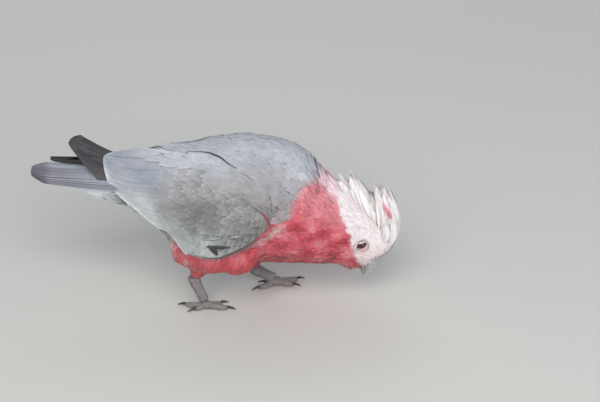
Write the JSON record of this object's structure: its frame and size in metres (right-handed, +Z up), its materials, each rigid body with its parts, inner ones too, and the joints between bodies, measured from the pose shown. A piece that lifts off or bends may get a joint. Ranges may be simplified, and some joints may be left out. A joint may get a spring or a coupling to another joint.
{
  "type": "galah",
  "caption": "Life-size still model of a galah, a grey and pink cockatoo, standing with its head down to feed.",
  "frame": {"origin": "on the floor, under the middle of the outline, with the soles on Z = 0", "axes": "+X towards the head, +Y to the bird's left, +Z up"},
  "size_m": [0.3294, 0.1104, 0.1631],
  "materials": {
    "plumage_pink": "soft matte contour feathers, rose red",
    "plumage_white": "soft matte feathers, white with a pink cast",
    "plumage_grey": "smooth matte feathers, bluish grey with pale edges",
    "plumage_dark": "firm flight feathers, dark brownish grey",
    "bill_horn": "horn, bone white, satin",
    "eye": "wet, dark brown",
    "leg_skin": "grey scaly skin, matte",
    "claw_horn": "dark horn, satin"
  },
  "bodies": {
    "root": {"trunk": "plumage_pink", "neck": "plumage_pink", "thigh_right": "plumage_pink", "thigh_left": "plumage_pink", "head": "plumage_white", "crest": "plumage_white", "wing_right": "plumage_grey", "wing_left": "plumage_grey", "tail": "plumage_grey", "primaries_right": "plumage_dark", "primaries_left": "plumage_dark", "bill_upper": "bill_horn", "bill_lower": "bill_horn", "eye_right": "eye", "eye_left": "eye", "leg_right": "leg_skin", "leg_left": "leg_skin", "foot_right": "leg_skin", "foot_left": "leg_skin", "claw_right_1": "claw_horn", "claw_right_2": "claw_horn", "claw_right_3": "claw_horn", "claw_right_4": "claw_horn", "claw_left_1": "claw_horn", "claw_left_2": "claw_horn", "claw_left_3": "claw_horn", "claw_left_4": "claw_horn"}
  },
  "joints": []
}
